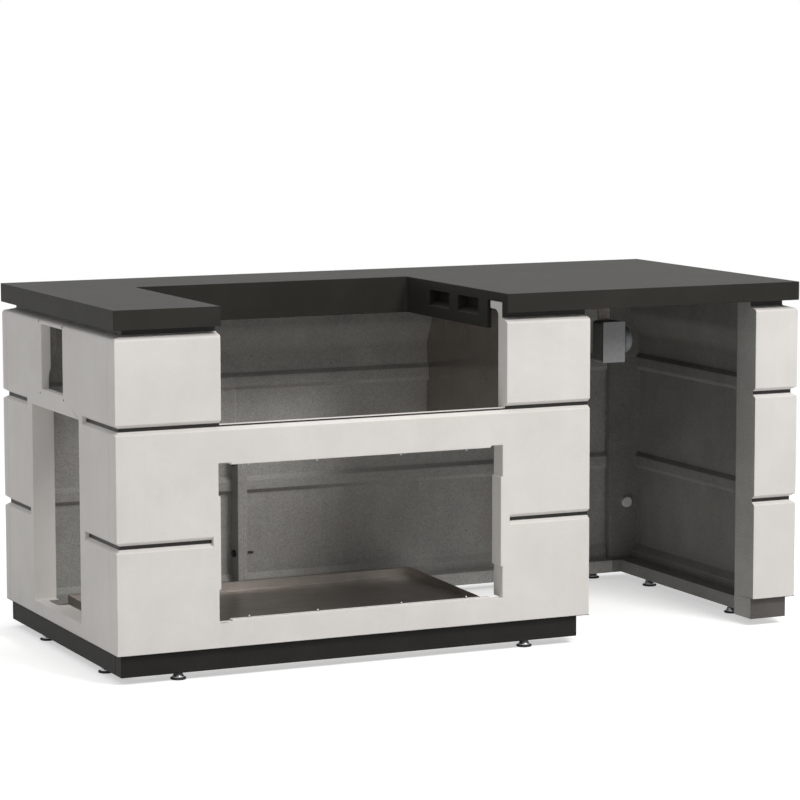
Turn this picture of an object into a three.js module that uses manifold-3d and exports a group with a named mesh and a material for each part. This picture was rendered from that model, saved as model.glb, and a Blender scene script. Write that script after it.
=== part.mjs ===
// Outdoor kitchen island: cast cement panels on levelling feet, under a hollow cast counter.
// It has a cut-out for a built-in grill, a door opening below it, and a bay for a fridge.
// Millimetres. Every piece is written from the island's front left corner on the floor:
// x runs right along the front, y runs back, z runs up. The group then centres the island.
import * as THREE from "three";
import { mergeVertices } from "three/addons/utils/BufferGeometryUtils.js";
import Module from "manifold-3d";

const wasm = await Module();
wasm.setup();

// The island as a whole
const islandLength = 1927;
const islandDepth = 884;
const counterOverhang = 2;
const clearance = 0.3;
const overrun = 20;

// Heights, stacked from the floor to the top of the counter
const footHeight = 19;
const plinthHeight = 55;
const lowerBand = 254.5;
const grooveMouth = 25;
const middleBand = 263;
const upperBand = 210.5;
const neckHeight = 21;
const counterEdge = 49;

// The casting of a panel: its skin, its set-backs and its returns
const skin = 20;
const plinthInset = 12;
const rightPlinthInset = 20;
const neckInset = 30;
const neckWall = 21;
const blockEdgeRadius = 8;
const blockTopRise = 6;
const topFlangeReach = 97;
const topFlangeThickness = 20;
const topFlangeFillet = 20;
const bulgeTop = 69;
const bulgeHeight = 79;
const bottomReturnHeight = 36;
const bottomReturnReach = 78;
const rightReturnReach = 89;
const heelRise = 4;
const heelHeight = 16;
const cornerReturn = 52;
const rearCornerReturn = 34;
const returnWall = 20;

// The grooves that run round the panels, and the ridges behind them
const grooveDepth = 12;
const grooveFloor = 10;
const ridgeCrest = 26;
const ridgeFoot = 48;

// The grill cut-out and the door opening below it
const cutoutLeft = 277;
const cutoutWidth = 783;
const cutoutDepth = 608;
const cutoutCorner = 12;
const doorLeft = 269;
const doorWidth = 779;
const doorSill = 139;
const doorHeight = 396;
const doorReliefHeight = 82;
const doorReliefWidth = 33;
const doorReliefDepth = 5;
const doorGrooveGapLeft = 15;
const doorGrooveGapRight = 21;

// The fridge bay, its two jambs and the strip at its back
const bayLeft = 1300;
const postWidth = 129;
const jambDepth = 97;
const jambToe = 30;
const rearStripWidth = 95;

// The two openings in the left end
const tallFrontMargin = 272;
const tallRearMargin = 243;
const tallSill = 110;
const tallHeight = 516;
const tallReveal = 60;
const tallUpperGrooveGaps = [26, 39];
const tallLowerGrooveGaps = [36, 22];
const hoseNotchMargin = 20;
const hoseNotchWidth = 81;
const hoseNotchInset = 30;
const hoseNotchRadius = 10;
const smallFrontMargin = 390;
const smallSize = 167;
const smallTopWall = 11;
const smallReveal = 26;
const smallPocketMargin = 25;
const smallHoleRadius = 2.8;
const smallHoleDepth = 12;
const smallHolePitch = 186;
const smallHoleRise = 6;
const smallHoleDrop = 11;
const smallHoleShift = 1.4;
const smallHoleSetback = 5.6;

// The counter casting
const counterSkin = 24;
const counterSkirt = 30;
const apronHeight = 97;
const apronThickness = 12;
const apronSetback = 116;
const pocketStart = 170;
const pocketWidth = 122;
const pocketPitch = 173;
const pocketHeight = 42;
const pocketHeadroom = 1;
const pocketDepth = 31;
const pocketRamp = 15;
const pocketWall = 6;
const pocketCount = 2;

// The back wall's two sections and their bolted flanges
const backSectionLeft = 658;
const jointFlangeThickness = 14;
const jointFlangeReach = 69;
const jointFlangeTop = 478;
const jointBoltHeights = [155, 408];
const jointBoltInset = 44;
const jointBoltRadius = 4;
const jointBoltHead = 10;
const jointBoltHeadHeight = 7;
const jointBoltTail = 18;

// The bolts that hold the end panels to the front and the back
const cornerBoltHeights = [220, 698];
const cornerBoltRadius = 4;
const cornerBoltHead = 7.5;
const cornerBoltHeadHeight = 6;
const cornerBoltGrip = 16;
const cornerBoreTip = 2;
const rearRightBoltInset = 40;
const bossWidth = 32;
const bossHeight = 44;
const capRadius = 15.5;
const capDepth = 11;
const capWall = 2.5;
const capBevel = 2;

// The steel floor tray
const trayLeft = 151;
const trayWidth = 1014;
const trayFront = 60;
const trayRearLap = 7.5;
const traySheet = 2;
const trayBackUpstand = 25;
const trayFrontUpstand = 8;

// The steel heat shield between the cabinet and the bay
const shieldPlace = 1240;
const shieldSheet = 1.5;
const shieldBottom = 477;
const shieldGap = 1.2;
const shieldTab = 22;
const shieldTabHeight = 110;

// The outlet box that hangs in the bay
const outletLeft = 1396;
const outletFront = 110;
const outletDrop = 96;
const outletWidth = 66;
const outletHeight = 108;
const outletBody = 50;
const outletSeam = 5;
const outletSeamInset = 3.5;
const outletWall = 3;
const outletCover = 4;
const outletCoverCorner = 2;
const outletCorner = 8;
const hubRadius = 34.5;
const hubReach = 25;
const hubEdge = 6;
const hubSkirt = 4;
const hubRise = 57;
const strapInset = 17;
const strapWidth = 35;
const strapThickness = 3;
const strapFoot = 40;
const strapLap = 87;

// The levelling feet
const padRadius = 20;
const padThickness = 5;
const padBevel = 1;
const cupRadius = 15;
const cupNeck = 9;
const cupEdge = 2;
const studRadius = 5;
const studTopGap = 3;
const footBoreDepth = 31;
const footInset = 35;
const rightFootInset = 72;
const frontFeet = [171, 1128];
const leftFootMargins = [189, 238];
const rightFootMargins = [208, 220];
const backFeet = [171, 820];
const rearBayFootMargin = 161;

// Segments of round and curved stretches
const edgeSteps = 3;
const curveSteps = 6;
const boltSides = 16;
const hexSides = 6;
const discSides = 24;

// Heights that follow from the stack
const panelBottom = footHeight;
const plinthTop = panelBottom + plinthHeight;
const lowerGroove = plinthTop + lowerBand + grooveMouth / 2;
const upperGroove = lowerGroove + grooveMouth + middleBand;
const blockTop = upperGroove + grooveMouth / 2 + upperBand;
const skirtBottom = blockTop + neckHeight;
const islandHeight = skirtBottom + counterEdge;
const counterUnder = islandHeight - counterSkin;
const pocketTop = counterUnder - pocketHeadroom;
const pocketBottom = pocketTop - pocketHeight;
const panelTop = counterUnder - clearance;
const flangeUnder = panelTop - topFlangeThickness;
const returnTop = panelBottom + bottomReturnHeight;
const bulgeFull = blockTop - bulgeTop;
const bulgeStart = bulgeFull - bulgeHeight;
const cutoutFloor = upperGroove;

// Places that follow from the outline of the island
const faceLeft = counterOverhang;
const faceRight = islandLength - counterOverhang;
const faceFront = counterOverhang;
const faceBack = islandDepth - counterOverhang;
const frontSeam = faceFront + cornerReturn;
const backSeam = faceBack - rearCornerReturn;
const postSeam = faceFront + jambDepth;
const cutoutRight = cutoutLeft + cutoutWidth;
const doorRight = doorLeft + doorWidth;
const bayRight = faceRight - postWidth;
const tallStart = tallFrontMargin;
const tallEnd = islandDepth - tallRearMargin;
const smallStart = smallFrontMargin;
const smallEnd = smallStart + smallSize;
const hoseNotchEnd = tallEnd - hoseNotchMargin;
const smallTop = blockTop - smallTopWall;
const smallBottom = smallTop - smallSize;
const neckDepth = neckInset + neckWall;
const innerLeft = faceLeft + skin;
const innerRight = faceRight - skin;
const innerFront = faceFront + skin;
const innerBack = faceBack - skin;
const stripLeft = innerRight - rearStripWidth;
const wallReach = Math.max(topFlangeReach, bottomReturnReach);
const frontReach = faceFront + wallReach;
const backReach = faceBack - wallReach;

// Turns a closed geometry into a solid that can be joined and cut.
function solid(geometry) {
  const bare = geometry.clone();
  bare.deleteAttribute("normal");
  bare.deleteAttribute("uv");
  const merged = mergeVertices(bare);
  return new wasm.Manifold(
    new wasm.Mesh({
      numProp: 3,
      vertProperties: new Float32Array(merged.attributes.position.array),
      triVerts: new Uint32Array(merged.index.array),
    }),
  );
}

// Turns a solid back into a geometry with flat faces.
function geometryOf(made) {
  const mesh = made.getMesh();
  const points = new Float32Array(mesh.numVert * 3);
  for (let i = 0; i < mesh.numVert; i++) {
    points.set(mesh.vertProperties.subarray(i * mesh.numProp, i * mesh.numProp + 3), i * 3);
  }
  const geometry = new THREE.BufferGeometry();
  geometry.setAttribute("position", new THREE.BufferAttribute(points, 3));
  geometry.setIndex(new THREE.BufferAttribute(new Uint32Array(mesh.triVerts), 1));
  const flat = geometry.toNonIndexed();
  flat.computeVertexNormals();
  return flat;
}

// A block between two corners.
function block(x0, x1, y0, y1, z0, z1) {
  const shape = new THREE.BoxGeometry(x1 - x0, y1 - y0, z1 - z0);
  shape.translate((x0 + x1) / 2, (y0 + y1) / 2, (z0 + z1) / 2);
  return solid(shape);
}

// The flat outline of a list of points, extruded by a length.
function extruded(points, length) {
  const outline = new THREE.Shape(points.map(([u, v]) => new THREE.Vector2(u, v)));
  return new THREE.ExtrudeGeometry(outline, { depth: length, steps: 1, bevelEnabled: false });
}

// An outline in y and z that runs along x.
function alongX(points, x0, x1) {
  const shape = extruded(points, x1 - x0);
  const turn = new THREE.Matrix4().makeBasis(
    new THREE.Vector3(0, 1, 0),
    new THREE.Vector3(0, 0, 1),
    new THREE.Vector3(1, 0, 0),
  );
  shape.applyMatrix4(turn);
  shape.translate(x0, 0, 0);
  return solid(shape);
}

// An outline in x and z that runs along y.
function alongY(points, y0, y1) {
  const shape = extruded(points, y1 - y0);
  const turn = new THREE.Matrix4().makeBasis(
    new THREE.Vector3(1, 0, 0),
    new THREE.Vector3(0, 0, 1),
    new THREE.Vector3(0, -1, 0),
  );
  shape.applyMatrix4(turn);
  shape.translate(0, y1, 0);
  return solid(shape);
}

// An outline in x and y that runs up z.
function alongZ(points, z0, z1) {
  const shape = extruded(points, z1 - z0);
  shape.translate(0, 0, z0);
  return solid(shape);
}

// A round or hexagonal bar along y, from y0 to y1.
function barAlongY(radius, x, z, y0, y1, sides) {
  const bar = new THREE.CylinderGeometry(radius, radius, y1 - y0, sides);
  bar.translate(x, (y0 + y1) / 2, z);
  return solid(bar);
}

// The same along x, from x0 to x1.
function barAlongX(radius, y, z, x0, x1, sides) {
  const bar = new THREE.CylinderGeometry(radius, radius, x1 - x0, sides);
  bar.rotateZ(Math.PI / 2);
  bar.translate((x0 + x1) / 2, y, z);
  return solid(bar);
}

// The same up z, from z0 to z1.
function barAlongZ(radius, x, y, z0, z1, sides) {
  const bar = new THREE.CylinderGeometry(radius, radius, z1 - z0, sides);
  bar.rotateX(Math.PI / 2);
  bar.translate(x, y, (z0 + z1) / 2);
  return solid(bar);
}

// A body turned about the z axis from an outline of radii and heights.
function turned(outline, sides) {
  const points = outline.map(([radius, height]) => new THREE.Vector2(radius, height));
  const lathe = new THREE.LatheGeometry(points, sides);
  lathe.rotateX(Math.PI / 2);
  return lathe;
}

// Points of a circle between two angles, given in right angles.
function arc(centreX, centreY, radius, from, to, steps) {
  const points = [];
  for (let i = 0; i <= steps; i++) {
    const angle = ((from + ((to - from) * i) / steps) * Math.PI) / 2;
    points.push([centreX + radius * Math.cos(angle), centreY + radius * Math.sin(angle)]);
  }
  return points;
}

// A rectangle with round corners.
function roundedRectangle(u0, u1, v0, v1, radius) {
  return [
    ...arc(u1 - radius, v1 - radius, radius, 0, 1, edgeSteps),
    ...arc(u0 + radius, v1 - radius, radius, 1, 2, edgeSteps),
    ...arc(u0 + radius, v0 + radius, radius, 2, 3, edgeSteps),
    ...arc(u1 - radius, v0 + radius, radius, 3, 4, edgeSteps),
  ];
}

// Joins a list of solids.
function joined(pieces) {
  return pieces.reduce((sum, piece) => sum.add(piece));
}

// Cuts a list of solids out of one.
function cutBy(piece, cutters) {
  return cutters.reduce((left, cutter) => left.subtract(cutter), piece);
}

// The outer side of a wall from its foot to its top, as set-back and height.
function outerProfile(inset) {
  return [
    [inset, panelBottom],
    [inset, plinthTop],
    [0, plinthTop],
    ...arc(blockEdgeRadius, blockTop - blockEdgeRadius, blockEdgeRadius, 2, 1, edgeSteps),
    [neckInset, blockTop + blockTopRise],
    [neckInset, panelTop],
  ];
}

// The inner side of a wall, from the bottom return to the top flange.
function innerProfile(inset) {
  const points = [
    [skin + inset, returnTop],
    [skin + inset, plinthTop + heelRise],
    [skin, plinthTop + heelRise + heelHeight],
  ];
  for (let i = 0; i <= curveSteps; i++) {
    const t = i / curveSteps;
    const share = t * t * (3 - 2 * t);
    points.push([skin + (neckDepth - skin) * share, bulgeStart + bulgeHeight * t]);
  }
  const filletDepth = neckDepth + topFlangeFillet;
  const filletHeight = flangeUnder - topFlangeFillet;
  return [...points, ...arc(filletDepth, filletHeight, topFlangeFillet, 2, 1, edgeSteps)];
}

// A closed outline between one wall's profile and the mirrored profile of the wall across.
function between(profile, farProfile, near, far) {
  return [
    ...profile.map(([d, z]) => [near + d, z]),
    ...farProfile.map(([d, z]) => [far - d, z]).reverse(),
  ];
}

// Everything inside the outer faces of the four walls.
function envelopeOf() {
  const plain = outerProfile(plinthInset);
  const right = outerProfile(rightPlinthInset);
  const depthways = alongX(between(plain, plain, faceFront, faceBack), 0, islandLength);
  const lengthways = alongY(between(plain, right, faceLeft, faceRight), 0, islandDepth);
  return depthways.intersect(lengthways);
}

// The space inside the four walls, between the bottom return and the top flange.
function hollowOf() {
  const plain = innerProfile(plinthInset);
  const right = innerProfile(rightPlinthInset);
  const depthways = alongX(between(plain, plain, faceFront, faceBack), 0, islandLength);
  const lengthways = alongY(between(plain, right, faceLeft, faceRight), 0, islandDepth);
  return depthways.intersect(lengthways);
}

// The four walls as one ring, before it is parted into panels.
function ringOf() {
  const floorHole = block(
    faceLeft + bottomReturnReach,
    faceRight - rightReturnReach,
    faceFront + bottomReturnReach,
    faceBack - bottomReturnReach,
    0,
    returnTop + clearance,
  );
  const topHole = block(
    faceLeft + topFlangeReach,
    faceRight - topFlangeReach,
    faceFront + topFlangeReach,
    faceBack - topFlangeReach,
    flangeUnder - clearance,
    islandHeight,
  );
  return cutBy(envelopeOf(), [hollowOf(), floorHole, topHole]);
}

// The section of a groove: a wide mouth at the face and a narrow flat floor.
function grooveOutline(centre) {
  const flare = (grooveMouth - grooveFloor) / 2 / grooveDepth;
  const mouth = grooveMouth / 2 + flare * overrun;
  return [
    [-overrun, centre - mouth],
    [grooveDepth, centre - grooveFloor / 2],
    [grooveDepth, centre + grooveFloor / 2],
    [-overrun, centre + mouth],
  ];
}

// The section of the ridge behind a groove, sunk a little into the skin.
function ridgeOutline(centre) {
  return [
    [skin - clearance, centre - ridgeFoot / 2],
    [skin + grooveDepth, centre - ridgeCrest / 2],
    [skin + grooveDepth, centre + ridgeCrest / 2],
    [skin - clearance, centre + ridgeFoot / 2],
  ];
}

// A section in set-back and height, run along one wall between two places.
function runFront(outline, x0, x1) {
  return alongX(outline.map(([d, z]) => [faceFront + d, z]), x0, x1);
}

function runBack(outline, x0, x1) {
  return alongX(outline.map(([d, z]) => [faceBack - d, z]), x0, x1);
}

function runLeft(outline, y0, y1) {
  return alongY(outline.map(([d, z]) => [faceLeft + d, z]), y0, y1);
}

function runRight(outline, y0, y1) {
  return alongY(outline.map(([d, z]) => [faceRight - d, z]), y0, y1);
}

// The grooves, or the ridges, run round the island and stop short of the openings.
function runsOf(outlineOf) {
  const endX = islandLength + overrun;
  const endY = islandDepth + overrun;
  const [upperBefore, upperAfter] = tallUpperGrooveGaps;
  const [lowerBefore, lowerAfter] = tallLowerGrooveGaps;
  const upper = outlineOf(upperGroove);
  const lower = outlineOf(lowerGroove);
  return joined([
    runFront(upper, -overrun, endX),
    runFront(lower, -overrun, doorLeft - doorGrooveGapLeft),
    runFront(lower, doorRight + doorGrooveGapRight, endX),
    runLeft(upper, -overrun, tallStart - upperBefore),
    runLeft(upper, tallEnd + upperAfter, endY),
    runLeft(lower, -overrun, tallStart - lowerBefore),
    runLeft(lower, tallEnd + lowerAfter, endY),
    runRight(upper, -overrun, endY),
    runRight(lower, -overrun, endY),
    runBack(upper, -overrun, endX),
    runBack(lower, -overrun, endX),
  ]);
}

const envelope = envelopeOf();
const grooves = runsOf(grooveOutline);
const walls = ringOf().add(runsOf(ridgeOutline).intersect(envelope));

// One panel: its share of the walls, its own stiffeners, and the grooves cut last.
function panel(region, stiffeners) {
  const share = walls.intersect(region);
  const stiff = joined([share, ...stiffeners.map((piece) => piece.intersect(envelope))]);
  return stiff.subtract(grooves);
}

// The bosses that take the corner bolts, one at each height.
function bosses(x0, x1, y0, y1) {
  return cornerBoltHeights.map((z) =>
    block(x0, x1, y0, y1, z - bossHeight / 2, z + bossHeight / 2),
  );
}

// The bores of a row of corner bolts.
function cornerBores(x, y0, y1) {
  const radius = cornerBoltRadius + clearance;
  return cornerBoltHeights.map((z) => barAlongY(radius, x, z, y0, y1, boltSides));
}

// The blind bores of a row of feet.
function footBores(places) {
  const radius = studRadius + clearance;
  return places.map(([x, y]) =>
    barAlongZ(radius, x, y, panelBottom - overrun, panelBottom + footBoreDepth, boltSides),
  );
}

// Where the feet stand
const frontFootPlaces = frontFeet.map((x) => [x, faceFront + footInset]);
const leftFootPlaces = [
  [faceLeft + footInset, leftFootMargins[0]],
  [faceLeft + footInset, islandDepth - leftFootMargins[1]],
];
const rightFootPlaces = [
  [faceRight - rightFootInset, rightFootMargins[0]],
  [faceRight - rightFootInset, islandDepth - rightFootMargins[1]],
];
const backFootPlaces = [...backFeet, islandLength - rearBayFootMargin].map((x) => [
  x,
  faceBack - footInset,
]);

// Where the corner bolts stand
const leftBoltX = innerLeft + bossWidth / 2;
const postBoltX = innerRight - bossWidth / 2;
const rearRightBoltX = innerRight - rearRightBoltInset;
const boreReach = cornerBoltGrip + cornerBoreTip;

// The door opening: its corners are a little larger than its plain edges.
function doorOutline() {
  const top = doorSill + doorHeight;
  const left = doorLeft + doorReliefDepth;
  const right = doorRight - doorReliefDepth;
  const low = doorSill + doorReliefDepth;
  const high = top - doorReliefDepth;
  return [
    [doorLeft, doorSill],
    [doorLeft + doorReliefWidth, doorSill],
    [doorLeft + doorReliefWidth, low],
    [doorRight - doorReliefWidth, low],
    [doorRight - doorReliefWidth, doorSill],
    [doorRight, doorSill],
    [doorRight, doorSill + doorReliefHeight],
    [right, doorSill + doorReliefHeight],
    [right, top - doorReliefHeight],
    [doorRight, top - doorReliefHeight],
    [doorRight, top],
    [doorRight - doorReliefWidth, top],
    [doorRight - doorReliefWidth, high],
    [doorLeft + doorReliefWidth, high],
    [doorLeft + doorReliefWidth, top],
    [doorLeft, top],
    [doorLeft, top - doorReliefHeight],
    [left, top - doorReliefHeight],
    [left, doorSill + doorReliefHeight],
    [doorLeft, doorSill + doorReliefHeight],
  ];
}

// The front panel: the grill cut-out above, the door opening below, a jamb at the bay.
function frontPanel() {
  const flangeStart = faceLeft + neckDepth + clearance;
  const region = joined([
    block(0, bayLeft, 0, frontSeam, 0, islandHeight),
    block(flangeStart, bayLeft, frontSeam - clearance, frontReach, 0, islandHeight),
  ]);
  const doorTop = doorSill + doorHeight;
  const frame = [
    [cutoutLeft - returnWall, cutoutLeft, cutoutFloor - returnWall, panelTop],
    [cutoutRight, cutoutRight + returnWall, cutoutFloor - returnWall, panelTop],
    [doorLeft - returnWall, doorLeft + doorReliefDepth, doorSill, doorTop],
    [doorRight - doorReliefDepth, doorRight + returnWall, doorSill, doorTop],
    [doorLeft - returnWall, doorRight + returnWall, doorTop - doorReliefDepth, doorTop + returnWall],
  ];
  const jamb = block(bayLeft - returnWall, bayLeft, 0, postSeam, 0, panelTop);
  const made = panel(region, [
    ...frame.map(([x0, x1, z0, z1]) => block(x0, x1, faceFront, frontSeam, z0, z1)),
    jamb,
    ...bosses(innerLeft - clearance, innerLeft + bossWidth, innerFront - clearance, frontSeam),
  ]);
  return cutBy(made, [
    block(cutoutLeft, cutoutRight, -overrun, islandDepth, cutoutFloor, islandHeight),
    alongY(doorOutline(), -overrun, postSeam),
    block(bayLeft - jambToe, bayLeft + overrun, -overrun, islandDepth, 0, plinthTop),
    ...cornerBores(leftBoltX, frontSeam - boreReach, frontSeam + overrun),
    ...footBores(frontFootPlaces),
  ]);
}

// The post right of the bay: open at the back, bolted to the right end panel.
function frontPost() {
  const region = block(bayRight, islandLength, 0, postSeam, 0, islandHeight);
  const made = panel(region, [
    block(bayRight, bayRight + returnWall, 0, postSeam, 0, panelTop),
    ...bosses(innerRight - bossWidth, innerRight + clearance, postSeam - bossWidth, postSeam),
  ]);
  return cutBy(made, cornerBores(postBoltX, postSeam - boreReach, postSeam + overrun));
}

// The left end panel: a small square opening, a tall one, and a flange at each seam.
function leftEndPanel() {
  const start = frontSeam + clearance;
  const end = backSeam - clearance;
  const reach = faceLeft + wallReach;
  const webEnd = faceLeft + neckDepth;
  const region = joined([
    block(0, webEnd, start, end, 0, islandHeight),
    block(0, reach, frontReach + clearance, backReach - clearance, 0, islandHeight),
  ]);
  const made = panel(region, [
    block(faceLeft, webEnd, start, start + returnWall, 0, panelTop),
    block(faceLeft, webEnd, end - returnWall, end, 0, panelTop),
    block(
      faceLeft,
      faceLeft + tallReveal,
      tallStart - returnWall,
      tallEnd + returnWall,
      tallSill - returnWall,
      tallSill + tallHeight + returnWall,
    ),
  ]);
  const notch = roundedRectangle(
    faceLeft + hoseNotchInset,
    faceLeft + tallReveal + overrun,
    hoseNotchEnd - hoseNotchWidth,
    hoseNotchEnd,
    hoseNotchRadius,
  );
  const holes = [
    [smallStart + smallHoleShift, smallTop + smallHoleRise],
    [smallStart + smallHoleShift + smallHolePitch, smallTop + smallHoleRise],
    [smallStart - smallHoleSetback, smallBottom - smallHoleDrop],
    [smallStart - smallHoleSetback + smallHolePitch, smallBottom - smallHoleDrop],
  ];
  return cutBy(made, [
    block(-overrun, reach + overrun, tallStart, tallEnd, tallSill, tallSill + tallHeight),
    block(-overrun, reach + overrun, smallStart, smallEnd, smallBottom, smallTop),
    block(
      faceLeft + smallReveal,
      reach + overrun,
      smallStart - smallPocketMargin,
      smallEnd + smallPocketMargin,
      smallBottom - smallPocketMargin,
      smallTop,
    ),
    alongZ(notch, tallSill - returnWall - clearance, tallSill + overrun),
    ...holes.map(([y, z]) =>
      barAlongX(smallHoleRadius, y, z, -overrun, faceLeft + smallHoleDepth, boltSides),
    ),
    ...cornerBores(leftBoltX, start - overrun, start + returnWall + overrun),
    ...cornerBores(leftBoltX, end - returnWall - overrun, end + overrun),
    ...footBores(leftFootPlaces),
  ]);
}

// The right end panel: plain outside, with a wide strip at the back of the bay.
function rightEndPanel() {
  const start = postSeam + clearance;
  const end = backSeam - clearance;
  const region = block(stripLeft, islandLength, start, end, 0, islandHeight);
  const made = panel(region, [
    block(faceRight - cornerReturn, faceRight, start, start + returnWall, 0, panelTop),
    block(stripLeft, faceRight, end - returnWall, end, 0, panelTop),
  ]);
  return cutBy(made, [
    ...cornerBores(postBoltX, start - overrun, start + returnWall + overrun),
    ...cornerBores(rearRightBoltX, end - returnWall - overrun, end + overrun),
    ...footBores(rightFootPlaces),
  ]);
}

// The span of one section of the back wall, with the returns it carries inside the seams.
function backRegion(x0, x1) {
  const flangeStart = Math.max(x0, faceLeft + neckDepth + clearance);
  const flangeEnd = Math.min(x1, stripLeft - clearance);
  return joined([
    block(x0, x1, backSeam, islandDepth, 0, islandHeight),
    block(flangeStart, flangeEnd, backReach, backSeam + clearance, 0, islandHeight),
  ]);
}

// The upright flange at the joint of the back wall.
function jointFlange(x0, x1) {
  return block(x0, x1, faceBack - jointFlangeReach, faceBack, 0, jointFlangeTop);
}

// The bores through both joint flanges.
const jointBores = jointBoltHeights.map((z) =>
  barAlongX(
    jointBoltRadius + clearance,
    faceBack - jointBoltInset,
    z,
    backSectionLeft - jointFlangeThickness - overrun,
    backSectionLeft + jointFlangeThickness + overrun,
    boltSides,
  ),
);

// The left section of the back wall.
function backPanelLeft() {
  const bossStart = innerLeft - clearance;
  const made = panel(backRegion(0, backSectionLeft), [
    jointFlange(backSectionLeft - jointFlangeThickness, backSectionLeft),
    ...bosses(bossStart, innerLeft + bossWidth, backSeam, innerBack + clearance),
  ]);
  return cutBy(made, [
    ...jointBores,
    ...cornerBores(leftBoltX, backSeam - overrun, backSeam + boreReach),
    ...footBores(backFootPlaces),
  ]);
}

// The right section of the back wall.
function backPanelRight() {
  const start = backSectionLeft + clearance;
  const bossStart = rearRightBoltX - bossWidth / 2;
  const made = panel(backRegion(start, islandLength), [
    jointFlange(start, start + jointFlangeThickness),
    ...bosses(bossStart, bossStart + bossWidth, backSeam, innerBack + clearance),
  ]);
  return cutBy(made, [
    ...jointBores,
    ...cornerBores(rearRightBoltX, backSeam - overrun, backSeam + boreReach),
    ...footBores(backFootPlaces),
  ]);
}

// A pocket in the side of an apron, with a floor that rises inwards.
function pocket(face, outwards, y0) {
  const fall = (pocketRamp / pocketDepth) * clearance;
  const outline = [
    [face - outwards * clearance, pocketBottom - fall],
    [face + outwards * pocketDepth, pocketBottom + pocketRamp],
    [face + outwards * pocketDepth, pocketTop],
    [face - outwards * clearance, pocketTop],
  ];
  return alongY(outline, y0, y0 + pocketWidth);
}

// The shell round a pocket, behind the apron and up to the slab.
function pocketShell(face, outwards, y0) {
  const back = face + outwards * (pocketDepth + pocketWall);
  const outline = [
    [face, pocketBottom - pocketWall],
    [back, pocketBottom - pocketWall + pocketRamp],
    [back, counterUnder + clearance],
    [face, counterUnder + clearance],
  ];
  return alongY(outline, y0 - pocketWall, y0 + pocketWidth + pocketWall);
}

// The counter: a thin slab with a turned-down edge and aprons round the cut-out.
function counter() {
  const underside = block(
    counterSkirt,
    islandLength - counterSkirt,
    counterSkirt,
    islandDepth - counterSkirt,
    0,
    counterUnder,
  );
  const slab = block(0, islandLength, 0, islandDepth, skirtBottom, islandHeight);
  const apron = block(
    cutoutLeft - apronThickness,
    cutoutRight + apronThickness,
    apronSetback,
    cutoutDepth + apronThickness,
    islandHeight - apronHeight,
    islandHeight - clearance,
  );
  const cutout = [
    [cutoutRight, -overrun],
    ...arc(cutoutRight - cutoutCorner, cutoutDepth - cutoutCorner, cutoutCorner, 0, 1, edgeSteps),
    ...arc(cutoutLeft + cutoutCorner, cutoutDepth - cutoutCorner, cutoutCorner, 1, 2, edgeSteps),
    [cutoutLeft, -overrun],
  ];
  const shells = [];
  const pockets = [];
  for (let i = 0; i < pocketCount; i++) {
    const y0 = pocketStart + pocketPitch * i;
    for (const [face, outwards] of [[cutoutLeft, -1], [cutoutRight, 1]]) {
      shells.push(pocketShell(face, outwards, y0));
      pockets.push(pocket(face, outwards, y0));
    }
  }
  const cast = joined([slab.subtract(underside), apron, ...shells]);
  return cutBy(cast, [alongZ(cutout, 0, islandHeight + overrun), ...pockets]);
}

// The floor tray of the cabinet, on the bottom returns of the front and the back.
function cabinetTray() {
  const x1 = trayLeft + trayWidth;
  const y1 = faceBack - bottomReturnReach + trayRearLap;
  const under = returnTop + clearance;
  const floor = under + traySheet;
  const side = [
    [trayFront, under],
    [y1, under],
    [y1, floor + trayBackUpstand],
    [trayFront, floor + trayFrontUpstand],
  ];
  return joined([
    block(trayLeft, x1, trayFront, y1, under, floor),
    block(trayLeft, x1, trayFront, trayFront + traySheet, under, floor + trayFrontUpstand),
    block(trayLeft, x1, y1 - traySheet, y1, under, floor + trayBackUpstand),
    alongX(side, trayLeft, trayLeft + traySheet),
    alongX(side, x1 - traySheet, x1),
  ]);
}

// The heat shield: a sheet that follows the inner side of the front and the back.
function heatShield() {
  const x1 = shieldPlace + shieldSheet;
  const profile = innerProfile(plinthInset);
  const outline = between(profile, profile, faceFront + shieldGap, faceBack - shieldGap);
  const top = flangeUnder - shieldGap;
  const sheet = alongX(outline, shieldPlace, x1).intersect(
    block(shieldPlace, x1, faceFront, faceBack, shieldBottom, top),
  );
  const notch = ridgeFoot / 2 + shieldGap;
  const notchReach = skin + grooveDepth + shieldGap;
  const notches = [
    block(0, islandLength, 0, faceFront + notchReach, upperGroove - notch, upperGroove + notch),
    block(
      0,
      islandLength,
      faceBack - notchReach,
      islandDepth,
      upperGroove - notch,
      upperGroove + notch,
    ),
  ];
  const tabX1 = x1 + shieldTab;
  const tabTop = shieldBottom + shieldTabHeight;
  const near = innerFront + clearance;
  const far = innerBack - clearance;
  return joined([
    cutBy(sheet, notches),
    block(shieldPlace, tabX1, near, near + shieldSheet, shieldBottom, tabTop),
    block(shieldPlace, tabX1, far - shieldSheet, far, shieldBottom, tabTop),
  ]);
}

// Places of the outlet box
const outletRight = outletLeft + outletWidth;
const outletTop = islandHeight - outletDrop;
const outletBottom = outletTop - outletHeight;
const seamFront = outletFront + outletCover + clearance;
const bodyFront = seamFront + outletSeam;
const bodyBack = bodyFront + outletBody;

// The outline of the box, drawn in by an inset.
function outletOutline(inset, corner) {
  return roundedRectangle(
    outletLeft + inset,
    outletRight - inset,
    outletBottom + inset,
    outletTop - inset,
    corner,
  );
}

// The cast box, open at the front.
function outletBox() {
  const hollow = outletOutline(outletSeamInset + outletWall, outletCoverCorner);
  return joined([
    alongY(outletOutline(0, outletCorner), bodyFront, bodyBack),
    alongY(outletOutline(outletSeamInset, outletCoverCorner), seamFront, bodyFront + clearance),
  ]).subtract(alongY(hollow, outletFront, bodyBack - outletWall));
}

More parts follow.
